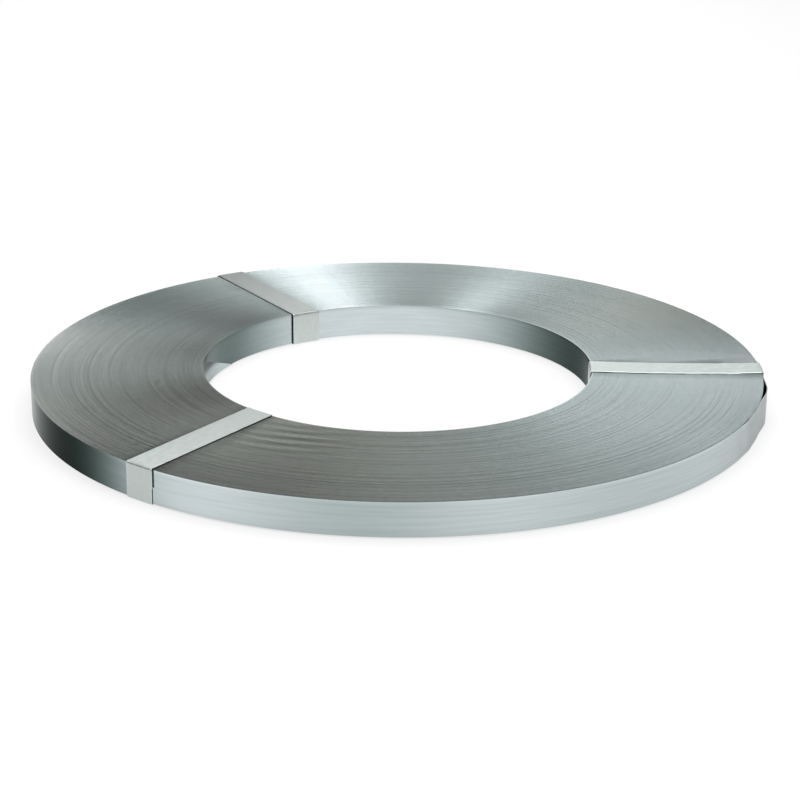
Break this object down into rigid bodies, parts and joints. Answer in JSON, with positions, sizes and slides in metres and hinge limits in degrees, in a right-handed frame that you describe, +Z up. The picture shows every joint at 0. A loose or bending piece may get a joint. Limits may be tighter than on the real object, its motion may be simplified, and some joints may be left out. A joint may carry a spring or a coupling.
{
  "type": "steel strapping coil",
  "caption": "Flat ribbon-wound coil of galvanised steel strapping, lying on its side and held by short steel tie bands through its bore.",
  "frame": {"origin": "centre of the bore, on the floor that the ties lie on", "axes": "+Z up along the coil's axis, +X towards the tie beside the strap's outer end"},
  "size_m": [0.5631, 0.5615, 0.0267],
  "materials": {
    "strap_steel": "galvanised strip, satin, with bright slit edges",
    "tie_steel": "galvanised strip, pale satin"
  },
  "bodies": {
    "root": {"strap_coil": "strap_steel", "tie_right": "tie_steel", "tie_back": "tie_steel", "tie_front": "tie_steel"}
  },
  "joints": []
}
